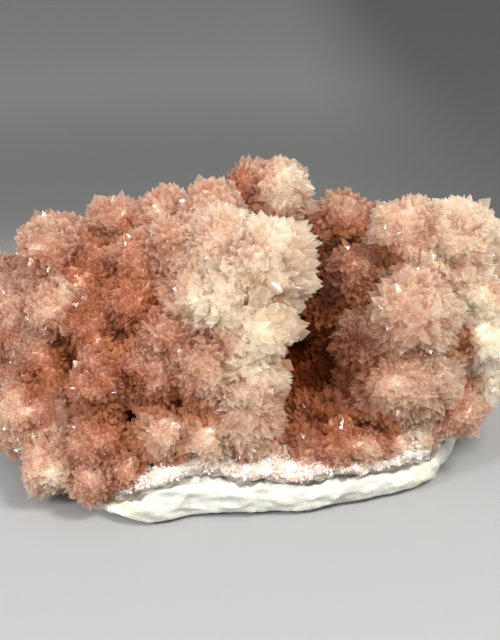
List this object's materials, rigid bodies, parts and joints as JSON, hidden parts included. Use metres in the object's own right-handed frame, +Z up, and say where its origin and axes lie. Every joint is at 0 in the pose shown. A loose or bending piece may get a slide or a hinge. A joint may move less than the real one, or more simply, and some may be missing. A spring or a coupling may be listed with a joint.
{
  "type": "calcite specimen",
  "caption": "Mineral specimen: pink calcite in balls of radiating dogtooth crystals, grown in masses either side of a deep cleft, on a banded white crust with a flat underside.",
  "frame": {"origin": "on the flat underside of the crust, near the middle of its plan", "axes": "+X to the viewer's right along the specimen's length, +Y to its back, +Z up from the underside"},
  "size_m": [0.1457, 0.0798, 0.0717],
  "materials": {
    "white_crust": "matt to sugary broken rock, white with a thin grey seam",
    "pink_calcite": "glossy translucent crystal faces, salmon pink with paler cream tips"
  },
  "bodies": {
    "root": {"matrix_crust": "white_crust", "left_crystal_mass": "pink_calcite", "right_crystal_mass": "pink_calcite", "rear_crystal_columns": "pink_calcite"}
  },
  "joints": []
}
